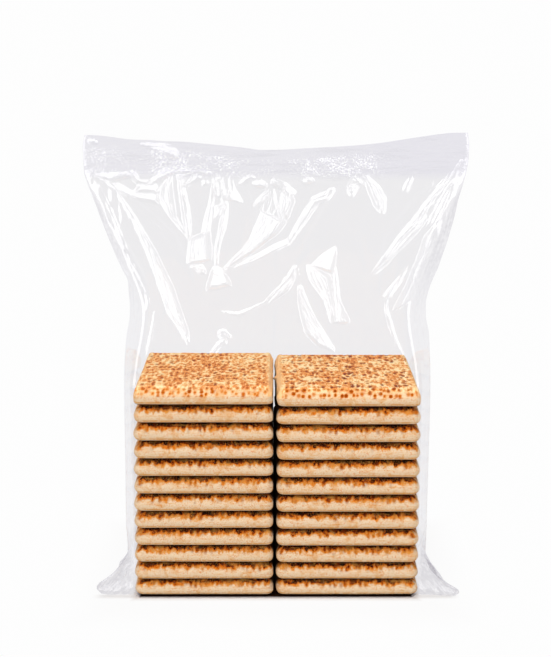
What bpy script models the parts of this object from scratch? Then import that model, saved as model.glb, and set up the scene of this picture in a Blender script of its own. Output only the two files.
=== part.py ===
"""A clear, heat-sealed bag that holds two stacks of square pita breads, as one closed solid.

The bag stands on its filled lower half. Above the breads its front and back panels close to a
flat seal, which is wider than the bag below it and sags in the middle. The two bottom corners
stick out as ears in the plane of the front panel, where the bottom seam lies.

Millimetres here, metres in the mesh. +Z is up, -Y is the front, and the origin is on the
floor under the middle of the bag.
"""

from typing import NamedTuple

import bmesh
import bpy
import numpy as np

MM = 0.001

# The breads: two stacks of twelve, side by side.
BREAD_SIDE = 115.0
BREAD_PITCH = 15.1
BREADS_HIGH = 12
STACK_GAP = 3.0
FILM_EASE = 1.0

BLOCK_X = BREAD_SIDE + STACK_GAP / 2 + FILM_EASE
BLOCK_Y = BREAD_SIDE / 2 + FILM_EASE
BLOCK_Z = BREAD_PITCH * BREADS_HIGH

# The bag above the breads.
BAG_HEIGHT = 384.0
SEAL_HEIGHT = 30.0
SEAL_HALF_WIDTH = 157.5
SEAL_SAG = 14.0
SAG_ROUND = 14.0
SEAL_HALF_THICK = 0.6
SAG_STARTS_AT = 235.0
WAIST_HEIGHT = 240.0
EAR_REACH = 151.5
EAR_HEIGHT = 50.0
SIDE_FOLD = 14.5

SEAL_FOOT = BAG_HEIGHT - SEAL_HEIGHT
FOLD_X = BLOCK_X + SIDE_FOLD

# Each outline below is (height, distance) pairs, read along a smooth curve.
# Half the bag's width at its side folds, shared by both sides up to the breads' top.
LOWER_FOLD = (
    (0.0, BLOCK_X + 1.0),
    (1.5, EAR_REACH - 2.5),
    (6.0, EAR_REACH),
    (20.0, EAR_REACH - 9.0),
    (34.0, FOLD_X + 2.5),
    (EAR_HEIGHT, FOLD_X),
    (140.0, FOLD_X),
    (BLOCK_Z, FOLD_X - 1.7),
)
RIGHT_FOLD = LOWER_FOLD + (
    (214.0, FOLD_X - 4.0),
    (WAIST_HEIGHT - 4.0, FOLD_X - 7.0),
    (WAIST_HEIGHT + 9.0, FOLD_X - 5.5),
    (263.0, FOLD_X - 0.8),
    (283.0, FOLD_X + 6.0),
    (317.0, SEAL_HALF_WIDTH - 10.3),
    (344.0, SEAL_HALF_WIDTH - 3.0),
    (372.0, SEAL_HALF_WIDTH + 2.0),
    (BAG_HEIGHT, SEAL_HALF_WIDTH),
)
LEFT_FOLD = LOWER_FOLD + (
    (214.0, FOLD_X - 3.8),
    (WAIST_HEIGHT - 2.0, FOLD_X - 8.3),
    (263.0, FOLD_X - 6.5),
    (277.0, FOLD_X - 0.6),
    (290.0, FOLD_X + 6.0),
    (317.0, SEAL_HALF_WIDTH - 10.3),
    (344.0, SEAL_HALF_WIDTH - 2.0),
    (372.0, SEAL_HALF_WIDTH + 2.0),
    (BAG_HEIGHT, SEAL_HALF_WIDTH),
)
# The side fold leaves the middle of the side and runs forward, down to the ear's tip.
FOLD_Y = (
    (0.0, -BLOCK_Y + 2.5),
    (6.0, -BLOCK_Y + 3.5),
    (18.0, -BLOCK_Y + 18.0),
    (33.0, -BLOCK_Y + 36.0),
    (46.0, -6.0),
    (58.0, 0.0),
    (BAG_HEIGHT, 0.0),
)
# Half the width of the front and back panels, between the creases at their edges.
PANEL_X = (
    (0.0, BLOCK_X - 4.0),
    (1.5, BLOCK_X - 1.3),
    (4.0, BLOCK_X),
    (BLOCK_Z, BLOCK_X),
    (BLOCK_Z + 18.0, BLOCK_X - 1.5),
    (WAIST_HEIGHT, BLOCK_X - 7.0),
    (280.0, BLOCK_X + 3.0),
    (320.0, SEAL_HALF_WIDTH - 19.0),
    (SEAL_FOOT, SEAL_HALF_WIDTH - 3.0),
    (372.0, SEAL_HALF_WIDTH - 0.5),
    (BAG_HEIGHT, SEAL_HALF_WIDTH - 2.5),
)
# How far the panels stand off the middle plane: they close to the seal at an even slope.
UPPER_PANEL_Y = (
    (4.0, BLOCK_Y),
    (BLOCK_Z, BLOCK_Y),
    (BLOCK_Z + 13.0, BLOCK_Y - 2.5),
    (230.0, BLOCK_Y - 16.0),
    (270.0, BLOCK_Y - 30.0),
    (310.0, BLOCK_Y - 43.5),
    (SEAL_FOOT - 14.0, 4.8),
    (SEAL_FOOT, SEAL_HALF_THICK + 0.4),
    (BAG_HEIGHT, SEAL_HALF_THICK),
)
FRONT_Y = ((0.0, BLOCK_Y - 0.6), (1.5, BLOCK_Y - 0.2)) + UPPER_PANEL_Y
BACK_Y = ((0.0, BLOCK_Y - 4.0), (1.5, BLOCK_Y - 1.3)) + UPPER_PANEL_Y

# Rounding of the vertical edges.
BLOCK_EDGE_ROUND = 9.0
FOLD_ROUND = 5.0

# The mesh: steps round half the bag, from the front's middle to the back's, and its heights.
PANEL_STEPS = 19
EDGE_STEPS = 4
SIDE_STEPS = 5
FOLD_STEPS = 4
BASE_STEPS = 4
ROW_RUNS = (
    (0.0, 1.5, 1),
    (1.5, 6.0, 2),
    (6.0, EAR_HEIGHT, 6),
    (EAR_HEIGHT, BLOCK_Z - 10.0, 6),
    (BLOCK_Z - 10.0, BLOCK_Z + 14.0, 4),
    (BLOCK_Z + 14.0, SEAL_FOOT, 20),
    (SEAL_FOOT, BAG_HEIGHT, 3),
)

FILM_COLOUR = (0.90, 0.90, 0.93, 1.0)
FILM_ROUGHNESS = 0.08


class Pleat(NamedTuple):
    """A ridge in a panel: its line as (x, height) points, the width of each flank, its height."""

    line: tuple
    left: float
    right: float
    height: float


# The broad folds of the front panel, which fan out from the seal and from the corners.
FRONT_PLEATS = (
    Pleat(((-146, 346), (-111, 298), (-90, 251), (-74, 216)), 11, 9, 4.5),
    Pleat(((-92, 349), (-90, 325), (-72, 296)), 13, 9, 4.5),
    Pleat(((-47, 350), (-54, 312), (-66, 277)), 9, 10, 4.5),
    Pleat(((34, 348), (8, 312), (-14, 290), (-44, 266)), 11, 11, 5.0),
    Pleat(((40, 284), (42, 262), (54, 232)), 10, 9, 4.0),
    Pleat(((152, 352), (118, 316), (80, 268)), 9, 10, 4.5),
    Pleat(((154, 345), (134, 300), (104, 246)), 10, 9, 4.0),
)
BACK_PLEATS = (
    Pleat(((-140, 350), (-96, 300), (-70, 250)), 12, 12, 4.0),
    Pleat(((-30, 350), (-22, 300), (-34, 246)), 10, 12, 4.0),
    Pleat(((60, 348), (40, 300), (14, 262)), 12, 10, 4.5),
    Pleat(((142, 350), (110, 304), (92, 240)), 11, 12, 4.0),
)


def along(outline, height):
    """Reads an outline at each height, on a curve through its points that never overshoots them."""
    knots, values = np.array(outline).T
    span = np.diff(knots)
    slope = np.diff(values) / span
    same_way = slope[:-1] * slope[1:] > 0
    harmonic = np.zeros(len(slope) - 1)
    harmonic[same_way] = (
        2 * slope[:-1][same_way] * slope[1:][same_way] / (slope[:-1] + slope[1:])[same_way]
    )
    tangent = np.concatenate([[slope[0]], harmonic, [slope[-1]]])
    height = np.clip(height, knots[0], knots[-1])
    at = np.clip(np.searchsorted(knots, height) - 1, 0, len(span) - 1)
    t = (height - knots[at]) / span[at]
    return (
        values[at] * (1 + 2 * t) * (1 - t) ** 2
        + values[at + 1] * t * t * (3 - 2 * t)
        + span[at] * t * (1 - t) * (tangent[at] * (1 - t) - tangent[at + 1] * t)
    )


def straight(start, end, steps):
    """Points from start towards end, without the end."""
    return [start + (end - start) * i / steps for i in range(steps)]


def rounded(corner, before, after, reach, steps):
    """Points on the curve that cuts a corner, without its last, and where it starts and ends."""
    start = corner + (before - corner) * min(0.45, reach / np.linalg.norm(before - corner))
    end = corner + (after - corner) * min(0.45, reach / np.linalg.norm(after - corner))
    points = []
    for i in range(steps):
        t = i / steps
        points.append(start * (1 - t) ** 2 + corner * 2 * t * (1 - t) + end * t * t)
    return start, points, end


def half_section(height, fold):
    """One side of the bag at a height, as (x, y) from the middle of the front to the back's."""
    panel = along(PANEL_X, height)
    front = np.array([panel, -along(FRONT_Y, height)])
    back = np.array([panel, along(BACK_Y, height)])
    side = np.array([along(fold, height), along(FOLD_Y, height)])
    front_middle = np.array([0.0, front[1]])
    back_middle = np.array([0.0, back[1]])
    first, front_edge, leave = rounded(front, front_middle, side, BLOCK_EDGE_ROUND, EDGE_STEPS)
    meet, fold_edge, part = rounded(side, front, back, FOLD_ROUND, FOLD_STEPS)
    last, back_edge, end = rounded(back, side, back_middle, BLOCK_EDGE_ROUND, EDGE_STEPS)
    points = straight(front_middle, first, PANEL_STEPS) + front_edge
    points += straight(leave, meet, SIDE_STEPS) + fold_edge
    points += straight(part, last, SIDE_STEPS) + back_edge
    return np.array(points + straight(end, back_middle, PANEL_STEPS) + [back_middle])


def sagged(height, x):
    """The true height of a point: the seal and the rows under it hang lower in the middle."""
    share = np.clip((height - SAG_STARTS_AT) / (SEAL_FOOT - SAG_STARTS_AT), 0, 1)
    out = np.hypot(x, SAG_ROUND) - SAG_ROUND
    farthest = np.hypot(SEAL_HALF_WIDTH, SAG_ROUND) - SAG_ROUND
    sag = SEAL_SAG * (1 - np.minimum(out / farthest, 1))
    return height - sag * share * share * (3 - 2 * share)


def pleat_height(pleat, x, z):
    """How far a pleat lifts the panel at (x, z): a ridge that tapers to both its ends."""
    line = np.array(pleat.line, float)
    lengths = np.linalg.norm(np.diff(line, axis=0), axis=1)
    passed = 0.0
    best, lift = np.full(np.shape(x), np.inf), np.zeros(np.shape(x))
    for start, end, length in zip(line[:-1], line[1:], lengths):
        way = (end - start) / length
        run = np.clip((x - start[0]) * way[0] + (z - start[1]) * way[1], 0, length)
        away = np.hypot(x - start[0] - way[0] * run, z - start[1] - way[1] * run)
        on_left = (x - start[0]) * way[1] - (z - start[1]) * way[0] < 0
        taper = np.sin(np.pi * np.clip((passed + run) / lengths.sum(), 0.02, 0.98)) ** 0.6
        width = np.where(on_left, pleat.left, pleat.right) * taper
        ridge = pleat.height * taper * np.clip(1 - away / width, 0, 1)
        lift = np.where(away < best, ridge, lift)
        best = np.minimum(away, best)
        passed += length
    return lift


def ring(height):
    """The bag's whole outline at a height, counter-clockwise from above, as (x, y, z) points."""
    right = half_section(height, RIGHT_FOLD)
    left = half_section(height, LEFT_FOLD) * (-1, 1)
    x, y = np.concatenate([right, left[-2:0:-1]]).T
    z = sagged(height, x)
    room = np.clip((SEAL_FOOT - height) / 30, 0, 1)
    for pleats, faces_out in ((FRONT_PLEATS, -1), (BACK_PLEATS, 1)):
        on_panel = np.clip(y * faces_out / along(FRONT_Y, height) * 4 - 3, 0, 1)
        lift = np.max([pleat_height(pleat, x, z) for pleat in pleats], axis=0)
        y = y + lift * room * on_panel * faces_out
    return np.column_stack([x, y, z])


def row_heights():
    heights = [0.0]
    for low, high, rows in ROW_RUNS:
        heights += [low + (high - low) * (i + 1) / rows for i in range(rows)]
    return heights


def skin_between(mesh, lower, upper):
    for i in range(len(lower)):
        j = (i + 1) % len(lower)
        mesh.faces.new((lower[i], lower[j], upper[j], upper[i]))


def cap(mesh, loop, steps, faces_up):
    """Closes a ring with strips that run from each front point to the back point behind it."""
    count = len(loop)
    quarter = count // 4
    front = [loop[(i - quarter) % count] for i in range(2 * quarter + 1)]
    back = [loop[(3 * quarter - i) % count] for i in range(2 * quarter + 1)]
    strips = [front]
    for step in range(1, steps):
        share = step / steps
        inner = [mesh.verts.new(a.co.lerp(b.co, share)) for a, b in zip(front[1:-1], back[1:-1])]
        strips.append([front[0]] + inner + [front[-1]])
    strips.append(back)
    for near, far in zip(strips, strips[1:]):
        for a, b, c, d in zip(near, near[1:], far[1:], far):
            corners = list(dict.fromkeys((a, b, c, d)))
            mesh.faces.new(corners if faces_up else corners[::-1])


def film_material():
    material = bpy.data.materials.new("clear film")
    material.use_nodes = True
    shader = material.node_tree.nodes["Principled BSDF"]
    shader.inputs["Base Color"].default_value = FILM_COLOUR
    shader.inputs["Roughness"].default_value = FILM_ROUGHNESS
    shader.inputs["Metallic"].default_value = 0.0
    return material


def make_bag():
    mesh = bmesh.new()
    rings = []
    for height in row_heights():
        points = ring(height) * MM
        rings.append([mesh.verts.new(point) for point in points])
    for lower, upper in zip(rings, rings[1:]):
        skin_between(mesh, lower, upper)
    cap(mesh, rings[0], BASE_STEPS, faces_up=False)
    cap(mesh, rings[-1], 1, faces_up=True)
    bmesh.ops.triangulate(mesh, faces=mesh.faces)
    data = bpy.data.meshes.new("bag")
    mesh.to_mesh(data)
    mesh.free()
    data.shade_smooth()
    data.materials.append(film_material())
    bag = bpy.data.objects.new("bag", data)
    bpy.context.scene.collection.objects.link(bag)
    return bag


def main():
    for obj in list(bpy.data.objects):
        bpy.data.objects.remove(obj, do_unlink=True)
    make_bag()


main()
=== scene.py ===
"""The looks of a clear, heat-sealed bag with two stacks of square pita breads in it.

The film is one closed skin whose panels carry the creases that catch the light. The breads are
separate slabs, each with its own toasting. Lengths are in millimetres until a mesh is made.
+Z is up, -Y is the front, and the origin is on the floor under the middle of the bag.
"""

import math
from typing import NamedTuple

import bpy
import numpy as np
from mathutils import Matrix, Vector, noise


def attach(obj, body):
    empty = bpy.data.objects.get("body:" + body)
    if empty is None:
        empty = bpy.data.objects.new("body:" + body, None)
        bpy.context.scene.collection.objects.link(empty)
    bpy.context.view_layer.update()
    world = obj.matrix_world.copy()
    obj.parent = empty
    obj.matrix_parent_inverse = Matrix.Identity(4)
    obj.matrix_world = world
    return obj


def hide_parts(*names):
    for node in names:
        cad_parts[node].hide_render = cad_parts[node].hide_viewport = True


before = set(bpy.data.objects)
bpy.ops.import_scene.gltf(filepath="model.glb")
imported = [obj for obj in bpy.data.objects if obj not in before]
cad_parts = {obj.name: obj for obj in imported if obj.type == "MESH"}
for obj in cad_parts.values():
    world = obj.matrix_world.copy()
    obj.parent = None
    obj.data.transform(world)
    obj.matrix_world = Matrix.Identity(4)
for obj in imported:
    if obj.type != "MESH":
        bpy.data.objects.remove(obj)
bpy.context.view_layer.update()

bl_info = {
    "name": "Bag of Square Breads",
    "version": (1, 0, 0),
    "blender": (4, 5, 0),
    "location": "View3D > Sidebar > Bread Bag",
    "description": "Makes a clear bag of square flatbreads, its stage, its lights and its camera",
    "category": "Add Mesh",
}

MM = 0.001
BAG_NODE = "bag"

# The block that the breads fill, as far as the film.
BREAD_ROOM = 115.0
STACK_GAP = 3.0
FILM_EASE = 1.0
BREADS_HIGH = 12
BREAD_PITCH = 15.1
BREAD_FLOOR = 1.4
BLOCK_X = BREAD_ROOM + STACK_GAP / 2 + FILM_EASE
BLOCK_Y = BREAD_ROOM / 2 + FILM_EASE
BLOCK_Z = BREAD_PITCH * BREADS_HIGH

# A bread's rolled edge as (share of its thickness, inset). Below the middle of a stack the breads
# are pressed thinner, the lowest one most, and above it they are thicker.
BREAD_EDGE = (
    (0, 5.8), (0.02, 3.6), (0.07, 2), (0.16, 0.8), (0.28, 0.15), (0.4, 0), (0.54, 0.5), (0.69, 2.1),
    (0.83, 4.3), (0.92, 6.2), (0.97, 7.9), (1, 9.4),
)
PRESSED = 0.018
FOOT_PRESSED = 0.7

# The mesh steps along a bread's side and up it, for a top bread and for one that is covered.
TOP_STEPS = (160, 26)
COVERED_STEPS = (110, 16)

# Pricked holes stand in loose rows, which the bread's rolled edge draws out.
DOCK_PITCH = 4.3
DOCK_STRAY = 0.66
DOCK_STRETCH = 0.55
TOP_DOCK_STRETCH = 0.95
TOP_DEPTH_SHARE = 0.5

# A bread's relief: its holes, the ridges, bubbles and crown of its top, how far its side wanders,
# and how far the upper breads bulge across the gap, the top ones most, in one narrow place.
PIT_DEPTH = 0.45
RIDGE_HEIGHT = 0.12
BUBBLE_HEIGHT = 0.20
CROWN_HEIGHT = 0.4
SIDE_WANDER = 0.25
FINE_WANDER = 0.12
GAP_BULGE = 0.9
GAP_PINCH = 2.8

# The gap between the stacks. The left stack's face along it is straight. The right one's slants, so
# that the gap shuts at the back, but the top breads leave it open.
GAP_X = -2.3
GAP_FRONT = (2.7, 3.8)
GAP_BACK = -3.0
OPEN_FROM_LEVEL = 9
OPEN_GAP_FRONT = 3.2
OPEN_GAP_BACK = 0.8
RIGHT_FACE = 1.45
GAP_PRESS = 0.35
TOUCH = 0.02
STACK_OVERHANG = 1.6

# The bag above the breads.
BAG_HEIGHT = 384.0
SEAL_HEIGHT = 30.0
SEAL_FOOT = BAG_HEIGHT - SEAL_HEIGHT
SEAL_SAG = (
    (-158, 2), (-148, 2.3), (-135, 3.7), (-119, 5.7), (-103, 6.3), (-90, 7.2), (-78, 7.5),
    (-54, 9.6), (-29, 12.1), (-11, 14.3), (0, 14.2), (24, 13), (53, 11.4), (70, 10.2), (86, 8.5),
    (102, 6.1), (119, 3.5), (135, 1.3), (145, 0.3), (158, 0.2),
)
SEAL_HALF_THICK = 0.6
SAG_STARTS_AT = 235.0
WAIST_HEIGHT = 240.0
EAR_HEIGHT = 50.0
EAR_LIFT = 2.6
EAR_HOLLOW = 5.0
CORNER_LIFT = 3.6
RIGHT_EAR_DROP = 1.4

# The film's relief: on its facets, on its slack upper panels, on the seal, the ears and the sides.
FACET_CRINKLE = 0.16
FACET_STREAK = 0.24
DRAPE = 0.5
SEAL_LINES = 0.20
SEAL_SPARKLE = 0.36
SEAL_BUCKLE = 0.8
EAR_ROUGH = 0.4
EAR_PLEAT = 0.6
EAR_PLEAT_SLANT = 1.06
SIDE_RIPPLE = 0.7

# Each outline is (height, distance) pairs, read along a smooth curve.
RIGHT_FOLD = (
    (0, 150.5), (1.5, 153.6), (3, 155.6), (4.5, 155), (6, 152.6), (9, 145.6), (11.7, 142.2),
    (14.3, 140.2), (17, 136.8), (19.5, 134.2), (23, 131.6), (28, 128.9), (33, 129.9), (46, 132.2),
    (60, 133), (100, 133.2), (150, 133.3), (181, 132.7), (200, 131.6), (214, 130.8), (230, 127.9),
    (240, 127.7), (250, 129.3), (260, 132.5), (270, 136.9), (280, 140.3), (300, 146.4),
    (320, 151.2), (330, 152.8), (344, 155.9), (354, 157.9), (362, 159), (373, 159),
    (BAG_HEIGHT, 157.7),
)
LEFT_FOLD = (
    (0, 143), (1.5, 146), (3.4, 149.2), (7, 152.2), (9, 150.9), (11.7, 144.9), (14.3, 139.9),
    (17, 136.1), (19.5, 133.8), (23, 131.2), (28, 127.8), (33, 128.4), (46, 131.4), (60, 132),
    (100, 131.3), (150, 131), (181, 130.1), (200, 128.7), (214, 127.2), (230, 124.4), (240, 124.2),
    (250, 125), (260, 125.2), (270, 129.2), (280, 133.8), (300, 141.5), (320, 148.6), (330, 151.9),
    (344, 156.5), (354, 158.9), (362, 159), (373, 159), (BAG_HEIGHT, 157.3),
)
FOLD_Y = (
    (0, -BLOCK_Y + 2.5), (6, -BLOCK_Y + 3.5), (18, -BLOCK_Y + 18), (33, -BLOCK_Y + 36),
    (46, -6), (58, 0), (BAG_HEIGHT, 0),
)
PANEL_X = (
    (0, BLOCK_X - 4), (1.5, BLOCK_X - 1.3), (4, BLOCK_X), (BLOCK_Z, BLOCK_X),
    (BLOCK_Z + 18, BLOCK_X - 1.5), (WAIST_HEIGHT, BLOCK_X - 7), (280, BLOCK_X + 5.5),
    (300, 132.5), (320, 142), (SEAL_FOOT, 156.8), (372, 158.1), (BAG_HEIGHT, 156.5),
)
UPPER_PANEL_Y = (
    (4, BLOCK_Y), (BLOCK_Z, BLOCK_Y), (BLOCK_Z + 13, BLOCK_Y - 2.5), (230, BLOCK_Y - 16),
    (270, BLOCK_Y - 30), (310, BLOCK_Y - 43.5), (SEAL_FOOT - 14, 4.8),
    (SEAL_FOOT, SEAL_HALF_THICK + 0.4), (BAG_HEIGHT, SEAL_HALF_THICK),
)
FRONT_Y = ((0, BLOCK_Y - 0.6), (1.5, BLOCK_Y - 0.2)) + UPPER_PANEL_Y
BACK_Y = ((0, BLOCK_Y - 4), (1.5, BLOCK_Y - 1.3)) + UPPER_PANEL_Y
BLOCK_EDGE_ROUND = 4.5
FOLD_ROUND = 5.0

# The film's mesh: steps round half the bag, and (from, to, rows) runs up it.
PANEL_STEPS = 138
EDGE_STEPS = 7
SIDE_STEPS = 20
FOLD_STEPS = 6
BASE_STEPS = 8
ROW_RUNS = (
    (0, 6, 4),
    (6, EAR_HEIGHT, 26),
    (EAR_HEIGHT, BLOCK_Z - 8, 10),
    (BLOCK_Z - 8, BLOCK_Z + 10, 8),
    (BLOCK_Z + 10, SEAL_FOOT, 190),
    (SEAL_FOOT, BAG_HEIGHT, 38),
)

# The picture is 657 pixels high, and its middle lies this many pixels off the lens's axis.
PICTURE_HEIGHT = 657
PICTURE_SHIFT = (-0.4, -49)

# A fold rises at one of the first slopes from its foot to its crest, and drops at the last behind
# it. Facets that face up need more slope.
LIT_SLOPE = 0.34
DIM_SLOPE = 0.22
RAISED_SLOPE = 0.46
BACK_SLOPE = 1.3


class Fold(NamedTuple):
    """A flat facet of a panel, between its foot and its crest, which catches the light. Both are
    as many (x, height) points, seen from the front. Behind the crest the film drops steeply.
    A facet with less slope is dimmer."""

    foot: tuple
    crest: tuple
    slope: float = LIT_SLOPE


def crease(line, width, lit_from=-1, slope=LIT_SLOPE):
    """A narrow fold along a line that is read downwards, lit from the left (-1) or the right."""
    line = np.array(line, float)
    way = np.gradient(line, axis=0)
    way /= np.linalg.norm(way, axis=1, keepdims=True)
    across = np.column_stack([-way[:, 1], way[:, 0]]) * lit_from
    half = width / 2 * np.sin(np.pi * np.linspace(0.12, 0.88, len(line)))[:, None]
    return Fold(line + across * half, line - across * half, slope)


LEFT_FOLDS = (
    # The long folds down from the seal's left end.
    crease(((-151, 348), (-141, 330), (-131, 309), (-123, 290), (-113, 272), (-105, 257)), 2.6,
           slope=DIM_SLOPE),
    Fold(((-133, 338), (-119, 314), (-107, 291), (-95, 261), (-88, 241), (-79, 229), (-71, 217)),
         ((-132, 338), (-116, 315), (-101, 291), (-86, 261), (-79, 242), (-73, 228), (-70, 216))),
    crease(((-106, 256), (-104, 249), (-105, 243)), 2.4, slope=0.28),
    crease(((-98, 243), (-101, 226), (-104, 209)), 2.4, slope=0.28),
    # The bow under the seal's left end.
    Fold(((-149, 350), (-135, 352), (-120, 353)), ((-148, 349), (-134, 346), (-121, 349)), 0.52),
    Fold(((-143, 346), (-130, 342), (-118, 336), (-108, 334), (-99, 336)),
         ((-142, 345), (-132, 339), (-122, 333), (-112, 330), (-98, 328)), 0.3),
    Fold(((-118, 355), (-112, 347), (-104, 345)), ((-119, 350), (-115, 344), (-105, 342)), 0.48),
    Fold(((-112, 342), (-106, 343), (-99, 342)), ((-115, 337), (-107, 337), (-98, 336))),
    Fold(((-105, 344), (-98, 350), (-91, 355)), ((-103, 342), (-94, 347), (-86, 352)), 0.4),
    # The petal beside it.
    Fold(((-88, 349), (-96, 338), (-97, 330), (-90, 319), (-80, 308), (-71, 298)),
         ((-86, 348), (-88, 340), (-87, 330), (-84, 316), (-77, 306), (-70, 297))),
    Fold(((-76, 349), (-74, 335), (-71, 322), (-69, 310), (-70, 299)),
         ((-80, 349), (-78, 335), (-76, 322), (-74, 310), (-72, 299))),
    # The column left of the middle, and the crumpled patches at its foot.
    Fold(((-52, 347), (-55, 330), (-58, 318), (-61, 304)),
         ((-50, 347), (-52, 330), (-54, 318), (-56, 304)), 0.28),
    Fold(((-44, 348), (-41, 334), (-39, 322), (-41, 308), (-46, 290), (-47, 278)),
         ((-46, 347), (-44, 334), (-43, 322), (-45, 308), (-49, 290), (-49, 278))),
    Fold(((-51, 346), (-51, 339), (-50, 331)), ((-47, 347), (-46, 339), (-45, 332))),
    Fold(((-51, 323), (-51, 313)), ((-43, 325), (-47, 316))),
    Fold(((-37, 349), (-33, 338), (-26, 326)), ((-38, 348), (-37, 337), (-38, 329)), 0.28),
    Fold(((-71, 298), (-72, 289), (-73, 279)), ((-58, 303), (-57, 292), (-57, 282))),
    Fold(((-72, 279), (-66, 279), (-60, 280)), ((-66, 275), (-62, 272), (-58, 272)), 0.17),
    Fold(((-51, 277), (-48, 277), (-44, 275)), ((-55, 262), (-47, 263), (-38, 265))),
    # Small folds under the seal.
    Fold(((-79, 340), (-72, 346), (-65, 350)), ((-75, 339), (-70, 343), (-62, 347))),
    Fold(((-61, 346), (-57, 347)), ((-60, 341), (-56, 343))),
    Fold(((-31, 342), (-26, 347), (-21, 350)), ((-28, 341), (-24, 345), (-18, 347)), 0.42),
    Fold(((-20, 343), (-14, 347), (-8, 343)), ((-17, 340), (-13, 341), (-9, 339)), RAISED_SLOPE),
    Fold(((-20, 325), (-13, 333), (-8, 337)), ((-17, 323), (-9, 328), (-6, 332)), 0.2),
    Fold(((-46, 229), (-42, 230), (-37, 225)), ((-46, 223), (-41, 222), (-36, 222)), 0.16),
    Fold(((-54, 210), (-48, 218), (-42, 223)), ((-50, 210), (-45, 216), (-40, 219)), 0.26),
)
MIDDLE_FOLDS = (
    # The wide diagonal fold, its crown and the line below it.
    Fold(((-12, 320), (-18, 307), (-23, 296), (-31, 287), (-43, 276)),
         ((4, 313), (-2, 304), (-10, 297), (-20, 289), (-41, 275))),
    Fold(((12, 299), (0, 294), (-20, 284), (-43, 274)), ((12, 295), (0, 289), (-20, 280), (-41, 272)),
         0.19),
    Fold(((-1, 348), (8, 344), (17, 336)), ((-3, 343), (5, 338), (12, 331))),
    Fold(((-8, 339), (-10, 329), (-12, 319)), ((-2, 338), (-1, 328), (4, 314)), 0.12),
    Fold(((5, 336), (3, 322)), ((13, 330), (8, 315))),
    Fold(((46, 341), (40, 335), (30, 331), (20, 317), (10, 298)),
         ((48, 337), (43, 330), (33, 325), (23, 311), (12, 296)), DIM_SLOPE),
    Fold(((20, 345), (26, 348)), ((24, 342), (31, 345))),
    # The star of folds over the right stack.
    Fold(((29, 278), (39, 287), (49, 293)), ((43, 274), (46, 280), (49, 290))),
    Fold(((24, 278), (27, 266), (32, 260), (39, 250), (44, 233)),
         ((30, 277), (41, 269), (43, 260), (45, 250), (47, 236)), 0.28),
    Fold(((46, 277), (47, 262), (48, 250), (45, 236), (45, 233)),
         ((48, 277), (50, 262), (51, 250), (54, 240), (57, 234))),
    Fold(((15, 279), (9, 270), (1, 261), (-8, 252)), ((16, 275), (14, 267), (9, 259), (-5, 249)), 0.21),
    crease(((-5, 251), (-20, 243), (-30, 239), (-40, 240), (-47, 242)), 3.0, lit_from=1),
    Fold(((21, 263), (27, 247), (33, 235), (38, 228), (43, 221), (48, 213)),
         ((19, 262), (20, 250), (23, 238), (27, 226), (35, 218), (46, 212))),
    crease(((17, 277), (19, 265)), 3.0),
)
RIGHT_FOLDS = (
    # Petals under the seal.
    Fold(((75, 350), (86, 340), (91, 330), (90, 320)), ((73, 349), (78, 338), (83, 326), (88, 318))),
    Fold(((70, 343), (67, 336), (64, 330)), ((62, 340), (61, 336), (62, 331)), 0.28),
    Fold(((63, 348), (70, 346)), ((65, 344), (71, 342)), 0.42),
    Fold(((114, 347), (112, 340), (108, 334)), ((111, 348), (107, 341), (105, 336)), 0.2),
    # The long folds down from the seal's right end.
    Fold(((152, 364), (140, 349), (125, 331), (112, 314), (99, 300), (88, 285), (75, 269)),
         ((152, 362), (142, 346), (128, 329), (116, 312), (103, 299), (91, 284), (75, 268))),
    Fold(((123, 318), (112, 307), (103, 296), (94, 287), (86, 278), (79, 271)),
         ((123, 314), (117, 307), (107, 296), (98, 288), (90, 279), (79, 270))),
    crease(((150, 353), (140, 335), (131, 319), (123, 306)), 2.8, lit_from=1),
    Fold(((150, 346), (141, 322), (134, 311), (131, 300), (124, 282), (121, 268), (115, 256)),
         ((148, 345), (138, 322), (131, 310), (124, 300), (117, 282), (110, 264), (100, 246)), 0.44),
    Fold(((108, 277), (104, 268), (98, 259), (94, 253)), ((107, 278), (100, 268), (92, 259), (88, 254)),
         0.19),
    crease(((90, 254), (90, 243), (93, 232), (97, 220), (102, 209)), 3.0, 1, DIM_SLOPE),
    crease(((103, 206), (104, 186)), 2.0, lit_from=1),
)
EAR_FOLDS = (
    # The lit seams along the ears' feet.
    Fold(((-146, 7.5), (-132, 8.0), (-118, 8.8)), ((-146, 5.5), (-132, 6.0), (-118, 6.8)),
         RAISED_SLOPE),
    Fold(((118, 8.8), (132, 8.0), (146, 7.0)), ((118, 6.8), (132, 6.0), (146, 5.0)), RAISED_SLOPE),
)
SEAL_FOLDS = (
    Fold(((-112, 375.5), (-102, 375.8), (-92, 376), (-84, 373), (-79, 368)),
         ((-108, 373.5), (-99, 370.5), (-93, 368), (-87, 366), (-81, 364)), 0.5),
    Fold(((-153.5, 379.5), (-148, 379)), ((-152.5, 376.5), (-147, 376)), 0.56),
    Fold(((-78, 355), (-66, 354.3), (-54, 352.8)), ((-78, 352), (-66, 351.3), (-54, 349.9)),
         RAISED_SLOPE),
    Fold(((78, 356.4), (89, 356.8), (99, 357)), ((78, 355), (89, 355.4), (99, 356.1))),
)
FRONT_FOLDS = LEFT_FOLDS + MIDDLE_FOLDS + RIGHT_FOLDS + EAR_FOLDS + SEAL_FOLDS
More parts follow.
